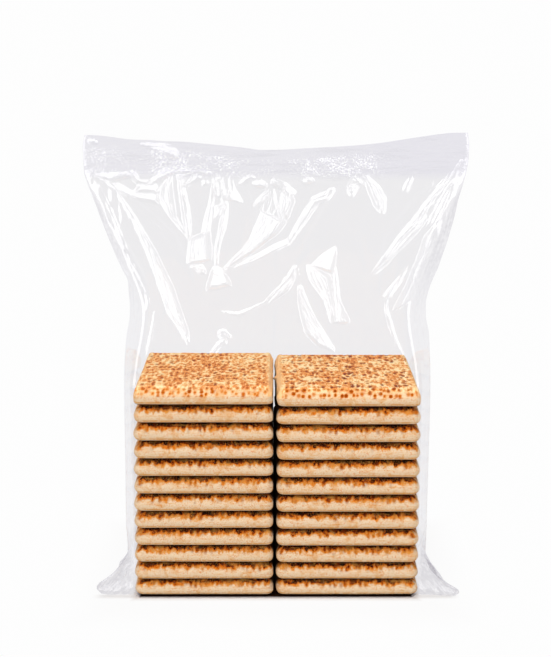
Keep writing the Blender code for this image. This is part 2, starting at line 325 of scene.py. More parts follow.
BACK_FOLDS = (
    Fold(((-146, 348), (-120, 318), (-96, 292), (-70, 248)),
         ((-144, 350), (-113, 322), (-87, 296), (-69, 248))),
    Fold(((-31, 350), (-25, 318), (-30, 282), (-36, 246)),
         ((-29, 350), (-17, 318), (-22, 282), (-34, 246))),
    Fold(((66, 349), (50, 318), (36, 290), (14, 262)), ((62, 349), (41, 320), (28, 294), (13, 263))),
    Fold(((142, 350), (124, 322), (105, 290), (93, 240)),
         ((140, 350), (114, 324), (94, 292), (91, 240))),
    crease(((-92, 352), (-84, 326), (-60, 290), (-52, 268)), 5.0),
    crease(((92, 352), (84, 330), (74, 296), (78, 262)), 5.0, lit_from=1),
    crease(((12, 350), (4, 326), (8, 306)), 4.0),
    crease(((-8, 274), (2, 250), (-4, 222)), 4.0, lit_from=1),
    crease(((-110, 262), (-98, 236), (-104, 208)), 3.0),
    crease(((108, 262), (100, 232), (106, 206)), 3.0, lit_from=1),
)

# How strongly the seal is crumpled, as (place across the bag, share).
CRUMPLED = (
    (-158, 0.1), (-150, 0.4), (-136, 0.35), (-108, 0.25), (-100, 0.75), (-92, 1.2), (-82, 1.1),
    (-72, 0.85), (-50, 0.75), (-32, 0.65), (-20, 0.45), (2, 0.35), (18, 0.6), (27, 0.95),
    (46, 0.95), (58, 1.1), (74, 0.9), (84, 0.35), (100, 0.14), (122, 0.05), (148, 0.05),
    (158, 0.25),
)


def colour(red, green, blue):
    """A colour as a screen shows it, 0 to 255, turned into the linear one that shaders take."""
    share = np.array([red, green, blue]) / 255
    linear = np.where(share <= 0.04045, share / 12.92, ((share + 0.055) / 1.055) ** 2.4)
    return (*map(float, linear), 1.0)


# ---------------------------------------------------------------------------------------------
# Settings that a user would change


def tint(name, description, value):
    return bpy.props.FloatVectorProperty(
        name=name, description=description, default=value, subtype="COLOR", size=4, min=0, max=1
    )


def number(name, description, value, **more):
    return bpy.props.FloatProperty(name=name, description=description, default=value, **more)


class FilmSettings(bpy.types.PropertyGroup):
    """The clear film."""

    clear: tint("Clear film", "What each layer of film lets through", colour(249.6, 249.1, 250.0))
    haze: tint("Haze", "The seal's milky tint", colour(245.5, 244.6, 248.2))
    scuffed: tint("Scuffed film", "The tint of the ears and the sides", colour(233, 232, 235))
    gloss: number("Gloss", "The front's mirror share seen straight on", 0.07, min=0, max=1)
    back_gloss: number("Back gloss", "The back's mirror share seen straight on", 0.025, min=0, max=1)
    roughness: number("Roughness", "Blur of the film's highlights", 0.08, min=0, max=1)


class BreadSettings(bpy.types.PropertyGroup):
    """One bread, and how it is toasted."""

    side: number("Side", "Length of a bread's side", 0.1142, unit="LENGTH")
    air: number("Air", "Air between two breads in a stack", 0.00015, unit="LENGTH")
    corner: number("Corner", "Radius of a bread's corners", 0.0068, unit="LENGTH")
    cream: tint("Cream", "Unbaked side of the crust", colour(226, 201, 167))
    gold: tint("Gold", "Lightly baked side", colour(216, 147, 66))
    toast: tint("Toast", "Baked side", colour(218, 110, 15))
    scorch: tint("Scorch", "Dark scorch marks", colour(132, 47, 3))
    # Char also paints shade: under the rims, at the feet and in the gap between the stacks.
    char: tint("Char", "The darkest crust, under the rim", colour(27, 4, 1))
    flour: tint("Flour", "Pale ridges of the top", colour(255, 225, 170))
    amber: tint("Amber", "Lightly baked top", colour(242, 170, 88))
    russet: tint("Russet", "Baked top", colour(223, 121, 43))


class StageSettings(bpy.types.PropertyGroup):
    """The floor, the lights and the camera."""

    # Near the bag the floor is a darker matt grey, which paints part of its soft shadow.
    floor: tint("Floor", "Colour of the floor beside the bag", colour(205, 200, 197))
    # Painted contact shadow: the floor under the breads is nearly black.
    painted_contact_shadow: tint("Contact", "Colour of the floor under the breads", colour(40, 24, 12))
    backdrop: tint("Backdrop", "Colour behind the object", colour(253.6, 253.6, 253.6))
    room: tint("Room", "Light from all round", colour(120, 120, 122))
    surround: tint("Surround", "What the film reflects all round", colour(246, 246, 248))
    card_glow: number("Card glow", "Brightness of the cards that the film reflects", 3.2, min=0)
    sun: number("Overhead light", "Strength of the broad light", 2.0, min=0)
    side_boxes: number("Side softboxes", "Power of each side softbox", 7.0, unit="POWER")
    top_box: number("Top softbox", "Power of the top softbox", 6.0, unit="POWER")
    lens: number("Lens", "Focal length in millimetres", 64.4, min=10)
    camera_distance: number("Camera distance", "Camera to the bag's middle", 0.968, unit="LENGTH")
    camera_height: number("Camera height", "Camera above the floor", 0.4623, unit="LENGTH")
    camera_pitch: number(
        "Camera pitch", "How far the camera looks down", math.radians(11.755), unit="ROTATION"
    )


# ---------------------------------------------------------------------------------------------
# Shader maths


def maths_operator(operation, swapped=False):
    """A Python operator that adds a maths node."""
    def operate(wire, other):
        pair = (other, wire) if swapped else (wire, other)
        return wire.maths(operation, *pair)

    return operate


class Wire:
    """The output of a shader node, on which maths is written as Python expressions."""

    __add__ = maths_operator("ADD")
    __radd__ = maths_operator("ADD", swapped=True)
    __sub__ = maths_operator("SUBTRACT")
    __rsub__ = maths_operator("SUBTRACT", swapped=True)
    __mul__ = maths_operator("MULTIPLY")
    __truediv__ = maths_operator("DIVIDE")
    __pow__ = maths_operator("POWER")

    def __init__(self, tree, socket):
        self.tree = tree
        self.socket = socket

    def maths(self, operation, first, second=0.0, clamp=False):
        settings = {"operation": operation, "use_clamp": clamp}
        return self.tree.add("ShaderNodeMath", settings, {0: first, 1: second})

    def clamped(self):
        return self.maths("ADD", self, clamp=True)

    def ease(self, low, high, start=0.0, end=1.0):
        """A smooth step from start to end as this value goes from low to high."""
        return self.tree.add(
            "ShaderNodeMapRange",
            {"interpolation_type": "SMOOTHSTEP"},
            {"Value": self, "From Min": low, "From Max": high, "To Min": start, "To Max": end},
        )


class Tree:
    """Adds nodes to the node tree of a material or a world."""

    def __init__(self, owner):
        owner.use_nodes = True
        self.nodes = owner.node_tree.nodes
        self.links = owner.node_tree.links
        self.nodes.clear()

    def add(self, kind, settings=None, inputs=None, output=0):
        """Makes a node, sets it, sets or links its sockets, and returns one of its outputs."""
        node = self.nodes.new(kind)
        for name, value in (settings or {}).items():
            setattr(node, name, value)
        for key, value in (inputs or {}).items():
            if isinstance(value, Wire):
                self.links.new(value.socket, node.inputs[key])
            else:
                node.inputs[key].default_value = value
        return Wire(self, node.outputs[output]) if node.outputs else node

    def graded(self, share, *stops):
        """A colour ramp through (position, colour) stops."""
        wire = self.add("ShaderNodeValToRGB", inputs={"Fac": share})
        elements = wire.socket.node.color_ramp.elements
        while len(elements) < len(stops):
            elements.new(1.0)
        for element, (position, value) in zip(elements, stops):
            element.position = position
            element.color = value
        return wire

    def mix(self, base, *layers):
        """A base colour under (colour, share) layers, one after the other."""
        for tone, share in layers:
            inputs = {0: share, 6: base, 7: tone}
            base = self.add("ShaderNodeMix", {"data_type": "RGBA"}, inputs, output=2)
        return base

    def place(self, x, y, z):
        """The piece's own coordinates, in units of x, y and z metres."""
        at = self.add("ShaderNodeTexCoord", output="Object")
        inputs = {0: at, 1: (1 / x, 1 / y, 1 / z)}
        return self.add("ShaderNodeVectorMath", {"operation": "MULTIPLY"}, inputs)

    def cloud(self, where, detail=2.0, roughness=0.5, distortion=0.0):
        """Smooth noise from 0 to 1, over a wire or over waves of (x, y, z) metres."""
        inputs = {
            "Vector": where if isinstance(where, Wire) else self.place(*where),
            "Scale": 1.0,
            "Detail": detail,
            "Roughness": roughness,
            "Distortion": distortion,
        }
        return self.add("ShaderNodeTexNoise", inputs=inputs)

    def measure(self, name):
        """A number that the mesh carries for each of its points."""
        return self.add("ShaderNodeAttribute", {"attribute_name": name}, output="Fac")

    def bump(self, height, strength):
        inputs = {"Strength": strength, "Distance": 0.0005, "Height": height}
        return self.add("ShaderNodeBump", inputs=inputs)

    def blend(self, first, second, share):
        """A shader share of the way from first to second."""
        return self.add("ShaderNodeMixShader", inputs={0: share, 1: first, 2: second})

    def surface(self, shader):
        self.add("ShaderNodeOutputMaterial", inputs={"Surface": shader})


def film_material(name, settings, gloss):
    """Clear glossy film: see-through, with a mirror share that grows towards its edges."""
    material = bpy.data.materials.new(name)
    tree = Tree(material)
    seal, scuff, crumpled, facet = map(tree.measure, ("seal", "scuff", "crumpled", "folded"))
    across, down = map(tree.measure, ("fold_across", "fold_along"))
    fine = tree.cloud((0.008, 0.008, 0.0016), detail=3.0, roughness=0.6)
    grain = tree.cloud((0.004, 0.004, 0.004))
    crisp = tree.cloud((0.0017, 0.02, 0.0013), detail=1.0)
    on_fold = tree.add("ShaderNodeCombineXYZ", inputs={"X": across / 1.8, "Y": down / 12.0})
    streak = tree.cloud(on_fold, detail=1.0)
    height = fine * (seal * 0.25 + 0.015) + grain * scuff * 0.4
    bump = tree.bump(height + crisp * crumpled * 1.6 + streak * facet * 0.9, 1.0)
    facing = tree.add(
        "ShaderNodeLayerWeight", inputs={"Blend": 0.5, "Normal": bump}, output="Facing"
    )
    mirror = (facing ** 5.0 * (1 - gloss) + gloss) * (1 - scuff * 0.5)

    # The seal is hazy, with clear dots where it is crumpled, and the ears and sides are dull.
    clear, haze, dots, scuffed = (
        tree.add("ShaderNodeBsdfTransparent", inputs={"Color": tone})
        for tone in (settings.clear, settings.haze, (1, 1, 1, 1), settings.scuffed)
    )
    hazy = (seal * 0.75 + (fine - 0.5) * seal + crumpled * 0.2).clamped()
    dull = scuff * (streak * 0.4 + grain * 0.6).ease(0.36, 0.60, start=0.3, end=1.0)
    through = tree.blend(clear, haze, hazy)
    through = tree.blend(through, dots, (crisp.ease(0.51, 0.63) * crumpled).clamped())
    through = tree.blend(through, scuffed, dull)
    shine = tree.add(
        "ShaderNodeBsdfAnisotropic",
        {"distribution": "GGX"},
        {"Color": (1, 1, 1, 1), "Roughness": settings.roughness, "Normal": bump},
    )
    tree.surface(tree.blend(through, shine, mirror))
    return material


def crust_material(settings):
    """Flatbread crust: cream sides, scorch streaks under the rim, a pricked and toasted top, with
    painted shade under the rims, at the feet and in the gap, and painted light on a top bread.
    """
    material = bpy.data.materials.new("crust")
    tree = Tree(material)
    rise, pit, halo, ridge = map(tree.measure, ("rise", "pit", "halo", "ridge"))
    heat, top, lit_top_bread = map(tree.measure, ("heat", "top", "lit_top_bread"))
    pale_and_lit_edge, painted_gap_shade = map(tree.measure, ("pale_and_lit_edge", "painted_gap_shade"))
    grain = tree.cloud((0.0011, 0.0023, 0.0011), detail=3.0, roughness=0.7)
    blotch = tree.cloud((0.0034, 0.0068, 0.0034), roughness=0.6)
    patch = tree.cloud((0.009, 0.016, 0.009), detail=3.0, roughness=0.6, distortion=0.6)
    field = tree.cloud((0.03, 0.03, 0.03), detail=1.0)
    streak = tree.cloud((0.0042, 0.0042, 0.020), roughness=0.6)
    layer = tree.cloud((0.014, 0.014, 0.0013), roughness=0.6)
    dot = tree.cloud((0.0012, 0.0012, 0.0012), detail=0.0)

    # The sides: dark under the rim, then golden, then cream, as a share of the thickness. The dark
    # under the rim is partly toasting and partly painted shade from the bread above.
    edge = (streak - 0.5) * 0.55 + (blotch - 0.5) * 0.25 + (grain - 0.5) * 0.16
    edge = edge + heat + halo * 0.11
    # A top bread's side is painted lighter, as it is lit where the covered breads below are shaded.
    side = tree.graded(
        1 - rise - edge + lit_top_bread * 0.34,
        (0.115, settings.char),
        (0.170, settings.scorch),
        (0.215, settings.toast),
        (0.29, settings.gold),
        (0.38, settings.cream),
    )
    speck = grain.ease(0.45, 0.29, end=0.9) + layer.ease(0.50, 0.72, end=0.45)
    speck = speck + patch.ease(0.50, 0.70, end=0.5)
    seam = rise.ease(0.24, 0.19) * rise.ease(0.12, 0.16) * blotch.ease(0.35, 0.55)
    rim = lit_top_bread * rise.ease(0.46, 0.60)
    side = tree.mix(
        side,
        # Brown specks and a thin line above the foot.
        (settings.gold, (speck + seam).clamped()),
        (settings.toast, dot.ease(0.34, 0.24, end=0.5)),
        (settings.flour, grain.ease(0.58, 0.75, end=0.45)),
        # The foot: painted lighter low on the side, where it is shaded, then darker at the very foot,
        # partly toasting and partly painted contact shade.
        (settings.flour, rise.ease(0.45, 0.22, end=0.14)),
        (settings.scorch, rise.ease(0.115, 0.04)),
        (settings.char, rise.ease(0.10, 0.03)),
        # A top bread's rim: pale between the pricked holes, and golden round them.
        (settings.flour, rim * 0.18),
        (settings.amber, (halo * 2.1 * rim).clamped()),
        (settings.toast, (pit * 2.2 * rim).clamped()),
    )

    # The top: pale ridges round toasted hollows, some with a dark prick in them.
    warm = (patch - 0.5) * 1.7 + (blotch - 0.5) * 1.9 + (field - 0.5) * 0.5
    face = tree.graded(
        warm + (grain - 0.5) * 1.7 + halo * 0.25 - ridge * 0.30 + 0.39,
        (0.00, settings.flour),
        (0.30, settings.amber),
        (0.68, settings.russet),
        (1.00, settings.scorch),
    )
    crust = tree.mix(
        side,
        (face, top),
        (settings.scorch, (pit * (0.5 + grain * 0.8)).clamped()),
        # Painted light, partly the crust's own pale edge: a top bread is paler along the gap.
        (tree.mix(settings.flour, (settings.amber, 0.45)), pale_and_lit_edge * 0.85),
        # Painted shade on the crust that faces the gap between the stacks.
        (settings.char, painted_gap_shade * 0.95),
    )
    inputs = {
        "Base Color": crust,
        "Roughness": 0.75,
        "Specular IOR Level": 0.03,
        "Normal": tree.bump(grain * 0.6 + blotch * 0.6 - pit * 0.3, 0.7),
    }
    tree.surface(tree.add("ShaderNodeBsdfPrincipled", inputs=inputs))
    return material


# ---------------------------------------------------------------------------------------------
# The film


def along(outline, height):
    """Reads an outline at each height, on a curve through its points that never overshoots them."""
    knots, values = np.array(outline).T
    span = np.diff(knots)
    slope = np.diff(values) / span
    same_way = slope[:-1] * slope[1:] > 0
    harmonic = np.zeros(len(slope) - 1)
    harmonic[same_way] = (
        2 * slope[:-1][same_way] * slope[1:][same_way] / (slope[:-1] + slope[1:])[same_way]
    )
    tangent = np.concatenate([[slope[0]], harmonic, [slope[-1]]])
    height = np.clip(height, knots[0], knots[-1])
    at = np.clip(np.searchsorted(knots, height) - 1, 0, len(span) - 1)
    t = (height - knots[at]) / span[at]
    return (
        values[at] * (1 + 2 * t) * (1 - t) ** 2
        + values[at + 1] * t * t * (3 - 2 * t)
        + span[at] * t * (1 - t) * (tangent[at] * (1 - t) - tangent[at + 1] * t)
    )


def straight(start, end, steps):
    """Points from start towards end, without the end."""
    return [start + (end - start) * i / steps for i in range(steps)]


def rounded(corner, before, after, reach, steps):
    """Points on the curve that cuts a corner, without its last, and where it starts and ends."""
    start = corner + (before - corner) * min(0.45, reach / np.linalg.norm(before - corner))
    end = corner + (after - corner) * min(0.45, reach / np.linalg.norm(after - corner))
    points = []
    for i in range(steps):
        t = i / steps
        points.append(start * (1 - t) ** 2 + corner * 2 * t * (1 - t) + end * t * t)
    return start, points, end


def half_section(height, fold):
    """One side of the bag at a height, as (x, y) from the middle of the front to the back's."""
    panel = along(PANEL_X, height)
    front = np.array([panel, -along(FRONT_Y, height)])
    back = np.array([panel, along(BACK_Y, height)])
    side = np.array([along(fold, height), along(FOLD_Y, height)])
    front_middle = np.array([0.0, front[1]])
    back_middle = np.array([0.0, back[1]])
    first, front_edge, leave = rounded(front, front_middle, side, BLOCK_EDGE_ROUND, EDGE_STEPS)
    meet, fold_edge, part = rounded(side, front, back, FOLD_ROUND, FOLD_STEPS)
    last, back_edge, end = rounded(back, side, back_middle, BLOCK_EDGE_ROUND, EDGE_STEPS)
    points = straight(front_middle, first, PANEL_STEPS) + front_edge
    points += straight(leave, meet, SIDE_STEPS) + fold_edge
    behind = np.array(straight(part, last, SIDE_STEPS))
    near_fold = np.clip(np.arange(SIDE_STEPS) / SIDE_STEPS / 0.4, 0, 1)
    behind[:, 0] -= EAR_HOLLOW * (1 - ramp(height, 8, 17)) * np.sin(np.pi * near_fold)
    points += list(behind) + back_edge
    return np.array(points + straight(end, back_middle, PANEL_STEPS) + [back_middle])


def sagged(height, x):
    """The true height of a point: the seal and the rows under it hang lower in the middle."""
    share = np.clip((height - SAG_STARTS_AT) / (SEAL_FOOT - SAG_STARTS_AT), 0, 1)
    return height - along(SEAL_SAG, x) * share * share * (3 - 2 * share)


def fold_triangles(fold):
    """A fold's facets as triangles of three (x, z, lift, across, along) corners."""
    foot, crest = np.array(fold.foot, float), np.array(fold.crest, float)
    across = crest - foot
    width = np.linalg.norm(across, axis=1, keepdims=True)
    lift = width * fold.slope
    drop = lift / BACK_SLOPE
    behind = crest + across / np.maximum(width, 0.01) * drop
    steps = np.linalg.norm(np.diff((foot + crest) / 2, axis=0), axis=1, keepdims=True)
    down = np.vstack([[[1.0]], 1.0 + np.cumsum(steps, axis=0)])
    lines = (
        np.hstack([foot, lift * 0, width * 0 + 1, down]),
        np.hstack([crest, lift, width + 1, down]),
        np.hstack([behind, lift * 0, width + drop + 1, down]),
    )
    for near, far in zip(lines, lines[1:]):
        for i in range(len(foot) - 1):
            yield near[i], near[i + 1], far[i]
            yield far[i], near[i + 1], far[i + 1]


def folded(folds, x, z):
    """How far the folds lift a panel at each (x, z), 1 where a facet lies (else 0), and how far
    across and along the facet that is."""
    lift, lit, across, down = np.zeros((4, *x.shape))
    for number, fold in enumerate(folds):
        for a, b, c in fold_triangles(fold):
            area = (b[0] - a[0]) * (c[1] - a[1]) - (c[0] - a[0]) * (b[1] - a[1])
            if abs(area) < 0.05:
                continue
            low, high = np.min([a, b, c], axis=0), np.max([a, b, c], axis=0)
            near = (x >= low[0]) & (x <= high[0]) & (z >= low[1]) & (z <= high[1])
            px, pz = x[near], z[near]
            to_b = ((px - a[0]) * (c[1] - a[1]) - (c[0] - a[0]) * (pz - a[1])) / area
            to_c = ((b[0] - a[0]) * (pz - a[1]) - (px - a[0]) * (b[1] - a[1])) / area
            inside = (to_b >= 0) & (to_c >= 0) & (to_b + to_c <= 1)
            height, over, along_it = (
                a[i] + (b[i] - a[i]) * to_b + (c[i] - a[i]) * to_c for i in (2, 3, 4)
            )
            on_it = inside & (height >= lift[near])
            lit[near] = np.where(inside, 1.0, lit[near])
            across[near] = np.where(on_it, over, across[near])
            down[near] = np.where(on_it, along_it + number * 31, down[near])
            lift[near] = np.where(on_it, height, lift[near])
    return lift, lit, across, down


def spread(field, rounds):
    """Carries a grid's values a few steps out into its empty cells."""
    for _ in range(rounds):
        for axis in (0, 1):
            for step in (-1, 1):
                field = np.where(field == 0, np.roll(field, step, axis), field)
    return field


def softened(field, rounds):
    """Smooths a grid of values a little, so that creases have a small radius."""
    for _ in range(rounds):
        for axis in (0, 1):
            before = np.roll(field, 1, axis)
            after = np.roll(field, -1, axis)
            if axis == 0:
                before[0], after[-1] = field[0], field[-1]
            field = field / 2 + before / 4 + after / 4
    return field


def wavy(points, step, seed):
    """Smooth noise from -1 to 1 at each point; step is the size of its waves along each axis."""
    scaled = points / np.array(step) + seed
    return np.array([noise.noise(Vector(point)) for point in scaled])


def film_points():
    """The film's points as rows of (x, y, z), and each row's height before the sag."""
    heights = [0.0]
    for low, high, rows in ROW_RUNS:
        heights += [low + (high - low) * (i + 1) / rows for i in range(rows)]
    rows = []
    for height in heights:
        right = half_section(height, RIGHT_FOLD)
        left = half_section(height, LEFT_FOLD) * (-1, 1)
        x, y = np.concatenate([right, left[-2:0:-1]]).T
        rows.append(np.column_stack([x, y, sagged(height, x)]))
    return np.array(rows), np.array(heights)


def ramp(value, low, high):
    """A straight step from 0 at low to 1 at high."""
    return np.clip((value - low) / (high - low), 0, 1)


class Skin:
    """The smooth film, as grids of its points' places and of what depends on them."""

    def __init__(self, points, heights):
        self.x, self.y, self.z = np.moveaxis(points, 2, 0)
        self.flat = points.reshape(-1, 3)
        self.heights = heights[:, None]
        self.level = np.broadcast_to(self.heights, self.x.shape)
        self.half_depth = along(FRONT_Y, self.heights)
        self.beyond = ramp(np.abs(self.x) - along(PANEL_X, self.heights), 0.0, 2.5)

    def waves(self, step, seed, stretch=(1, 1, 1)):
        """Smooth noise over the film."""
        return wavy(self.flat * stretch, step, seed).reshape(self.x.shape)

    def waves_over(self, across, down, deep, step, seed):
        """Smooth noise over a place of each point's own."""
        places = np.column_stack([across.ravel(), down.ravel(), deep.ravel()])
        return wavy(places, step, seed).reshape(self.x.shape)


def panel_facets(skin):
    """How far along y the folds of both panels move the film, and what lies where on a facet."""
    move = np.zeros(skin.x.shape)
    places = np.zeros((3, *skin.x.shape))
    crinkle = skin.waves((6, 6, 6), 2.6)
    for folds, faces_out in ((FRONT_FOLDS, -1), (BACK_FOLDS, 1)):
        on_panel = ramp(skin.y * faces_out / skin.half_depth, 0.6, 0.9)
        lift, lit, across, down = folded(folds, skin.x, skin.z)
        lift, lit = softened(lift, 1), softened(lit, 2)
        across, down = spread(across, 3), spread(down, 3)
        streaks = skin.waves_over(across, down, down * 0, (2.8, 17, 1), 0.4)
        rough = (crinkle * FACET_CRINKLE + streaks * FACET_STREAK) * lit
        move += (lift + rough) * on_panel * faces_out
        places = np.where(skin.y * faces_out > 0, [lit * on_panel, across, down], places)
    return move, places


def seal_wrinkles(skin):
    """How far the seal's wrinkles move it, where the seal is, and how crumpled it is there."""
    upright = (1, 0, 1)
    seal = ramp(skin.z, SEAL_FOOT - 10, SEAL_FOOT - 2)
    line = skin.waves((16, 16, 2.6), 7.7, upright)
    sparkle = skin.waves((3.0, 3.0, 2.6), 4.2, upright)
    buckle = skin.waves((30, 30, 14), 1.3, upright)
    uneven = 1 + 1.3 * skin.waves((10, 10, 6), 8.2, upright)
    edge_calm = 1 - ramp(skin.level, SEAL_FOOT + 19, SEAL_FOOT + 25)
    strength = along(CRUMPLED, skin.x) * np.clip(uneven, 0.1, 1.6) * edge_calm
    move = line * SEAL_LINES + sparkle * SEAL_SPARKLE * strength + buckle * SEAL_BUCKLE
    return move * seal, seal, strength


def drape(skin):
    """How far the slack film between the breads and the seal hangs in or out."""
    outward = np.sign(skin.y) * ramp(np.abs(skin.y) / skin.half_depth, 0.5, 1.0)
    slack = ramp(skin.level, BLOCK_Z, BLOCK_Z + 30)
    slack = slack * (1 - ramp(skin.level, SEAL_FOOT - 40, SEAL_FOOT))
    return skin.waves((46, 46, 60), 3.1, (1, 3, 1)) * slack * outward * DRAPE


def crumple(points, heights):
    """Folds the panels, wrinkles the seal, the sides and the ears, and marks what is where."""
    skin = Skin(points, heights)
    x, z, level, beyond = skin.x, skin.z, skin.level, skin.beyond
    facets, places = panel_facets(skin)
    edge = np.where(x > 0, along(RIGHT_FOLD, skin.heights), along(LEFT_FOLD, skin.heights))
    beside = np.array([beyond * 0.5, np.abs(x) - edge + 90, z * 0.35])
    places = np.where(beyond > 0, beside, places)
    wrinkles, seal, strength = seal_wrinkles(skin)

    # The ears are the flat corners beside the block's foot. Their pleats run up and outwards.
    side = ramp(np.abs(x), BLOCK_X - 1, BLOCK_X + 5)
    ear = side * (1 - ramp(level, EAR_HEIGHT - 24, EAR_HEIGHT - 6)) * ramp(level, 0, 4)
    slanted = np.abs(x) + EAR_PLEAT_SLANT * z
    rough = skin.waves((3.5, 3.5, 3.5), 5.2)
    pleat = skin.waves_over(slanted, skin.y, z, (3.0, 30, 14), 6.6)
    ripple = skin.waves((5, 5, 60), 9.4) * side * (1 - seal) * ramp(level, 6, 20)
    places = np.where(ear > 0, [np.maximum(ear * 0.18, beyond * 0.3), slanted, z], places)

    # No film leaves the block's depth, and the corners stand a little off the floor.
    moved = points.copy()
    moved[..., 1] += facets + drape(skin) + wrinkles + ripple * SIDE_RIPPLE
    moved[..., 1] += (rough * EAR_ROUGH + pleat * EAR_PLEAT) * ear
    moved[..., 1] = np.clip(moved[..., 1], -BLOCK_Y, BLOCK_Y)
    lifted = CORNER_LIFT * ramp(np.abs(x), BLOCK_X - 4, BLOCK_X + 1)
    lifted -= (CORNER_LIFT - EAR_LIFT) * ramp(np.abs(x), BLOCK_X + 1, BLOCK_X + 25)
    lifted -= RIGHT_EAR_DROP * ramp(x, BLOCK_X + 12, BLOCK_X + 34)
    moved[..., 2] = np.maximum(moved[..., 2], lifted)

    worn = beyond * (0.2 + 0.4 * ramp(level, 230, 290))
    marks = {
        "seal": seal * (0.9 + 0.4 * ramp(x, 30, 100)),
        "scuff": np.maximum(ear * (1.03 + 0.12 * np.sign(x)), worn),
        "crumpled": seal * strength,
    }
    return moved, marks | dict(zip(("folded", "fold_across", "fold_along"), places))


def grid_faces(grid):
    """The quads between a grid's points, which it gives as their numbers."""
    corners = grid[:-1, :-1], grid[:-1, 1:], grid[1:, 1:], grid[1:, :-1]
    return np.stack(corners, -1).reshape(-1, 4).tolist()


def faces_between(rows, columns, closed=True):
    """The quads of a skin whose points run round it, or across it, row by row."""
    grid = np.arange(rows * columns).reshape(rows, columns)
    return grid_faces(np.column_stack([grid, grid[:, 0]]) if closed else grid)


def piece_from(name, points, faces, material, measures=None):
    """A smooth-shaded object from points in millimetres, with a number for each of its points."""
    mesh = bpy.data.meshes.new(name)
    mesh.from_pydata((np.asarray(points) * MM).tolist(), [], faces)
    for measure, values in (measures or {}).items():
        layer = mesh.attributes.new(measure, "FLOAT", "POINT")
        layer.data.foreach_set("value", np.asarray(values, np.float32))
    mesh.shade_smooth()
    mesh.materials.append(material)
    piece = bpy.data.objects.new(name, mesh)
    bpy.context.scene.collection.objects.link(piece)
    return piece


def welded(points, faces):
    """Merges the points that coincide, and drops the corners that faces lose by it."""
    _, first, same = np.unique(
        np.round(points, 5), axis=0, return_index=True, return_inverse=True
    )
    merged = [list(dict.fromkeys(same.ravel()[face].tolist())) for face in faces]
    return points[first], [face for face in merged if len(face) > 2]


def make_web(name, points, faces, marks, material):
    """One piece of the film."""
    web = piece_from(name, points, faces, material, marks)
    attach(web, "root")
    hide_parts(BAG_NODE)


def make_film(settings):
    """The front web, the back web, and the strips that close them at the floor and the top."""
    front_film = film_material("film_front", settings, settings.gloss)
    back_film = film_material("film_back", settings, settings.back_gloss)
    points, heights = film_points()
    points, marks = crumple(points, heights)
    quarter = points.shape[1] // 4
    front = np.arange(-quarter, quarter + 1) % points.shape[1]
    back = np.arange(quarter, 3 * quarter + 1) % points.shape[1]
    for name, web, material in (("film_front", front, front_film), ("film_back", back, back_film)):
        web_marks = {mark: values[:, web].ravel() for mark, values in marks.items()}
        faces = faces_between(len(heights), len(web), closed=False)
        make_web(name, points[:, web].reshape(-1, 3), faces, web_marks, material)
    base_strip = np.linspace(points[0, back[::-1]], points[0, front], BASE_STEPS + 1)
    lip_strip = np.linspace(points[-1, front], points[-1, back[::-1]], 2)
    for name, strip, sealed in (("film_base", base_strip, 0.0), ("film_lip", lip_strip, 1.0)):
        faces = faces_between(len(strip), len(front), closed=False)
        corners, faces = welded(strip.reshape(-1, 3), faces)
        strip_marks = {mark: np.zeros(len(corners)) for mark in marks}
        strip_marks["seal"] += sealed
        make_web(name, corners, faces, strip_marks, back_film)


# ---------------------------------------------------------------------------------------------
# The breads


def square_loop(steps):
    """Points round a square of half-side 1, counter-clockwise from its front left corner."""
    run = np.linspace(-1, 1, steps, endpoint=False)
    one = np.ones(steps)
    front, right = np.column_stack([run, -one]), np.column_stack([one, run])
    return np.concatenate([front, right, -front, -right])


def rounded_square(loop, half, radius):
    """The square's loop brought onto a rounded square, and the outward direction at each point."""
    square = loop * half
    core = np.clip(square, radius - half, half - radius)
    outward = square - core
    outward /= np.linalg.norm(outward, axis=1, keepdims=True)
    return core + outward * radius, outward


def side_profile(thickness, steps):
    """A bread's side from the edge of its flat bottom to the edge of its top: (inset, height)."""
    knots = np.arange(len(BREAD_EDGE))
    share, inset = np.array(BREAD_EDGE).T
    at = np.linspace(0, knots[-1], steps + 1)
    return np.column_stack(
        [along(np.column_stack([knots, inset]), at), along(np.column_stack([knots, share]), at)]
    ) * (1, thickness)


def filled_square(loop, steps):
    """Points inside a loop of four equal sides, blended from the sides across it."""
    t = np.arange(1, steps) / steps
    front, right = loop[:steps + 1], loop[steps:2 * steps + 1]
    back = loop[2 * steps:3 * steps + 1][::-1]
    left = np.vstack([loop[3 * steps:], loop[:1]])[::-1]
    u, v = np.meshgrid(t, t)
    u, v = u[..., None], v[..., None]
    sides = front[1:-1][None] * (1 - v) + back[1:-1][None] * v
    sides += left[1:-1][:, None] * (1 - u) + right[1:-1][:, None] * u
    corners = front[0] * (1 - u) * (1 - v) + front[-1] * u * (1 - v)
    corners += back[0] * (1 - u) * v + back[-1] * u * v
    return sides - corners


def cap_faces(first, inner_first, steps):
    """Quads that fill a loop of four equal sides with a grid of inner points."""
    step = np.arange(steps + 1)
    grid = np.empty((steps + 1, steps + 1), int)
    grid[:, 0] = first + (4 * steps - step) % (4 * steps)
    grid[0] = first + step
    grid[:, -1] = first + steps + step
    grid[-1] = first + 3 * steps - step
    grid[1:-1, 1:-1] = inner_first + np.arange((steps - 1) ** 2).reshape(steps - 1, steps - 1)
    return grid_faces(grid)


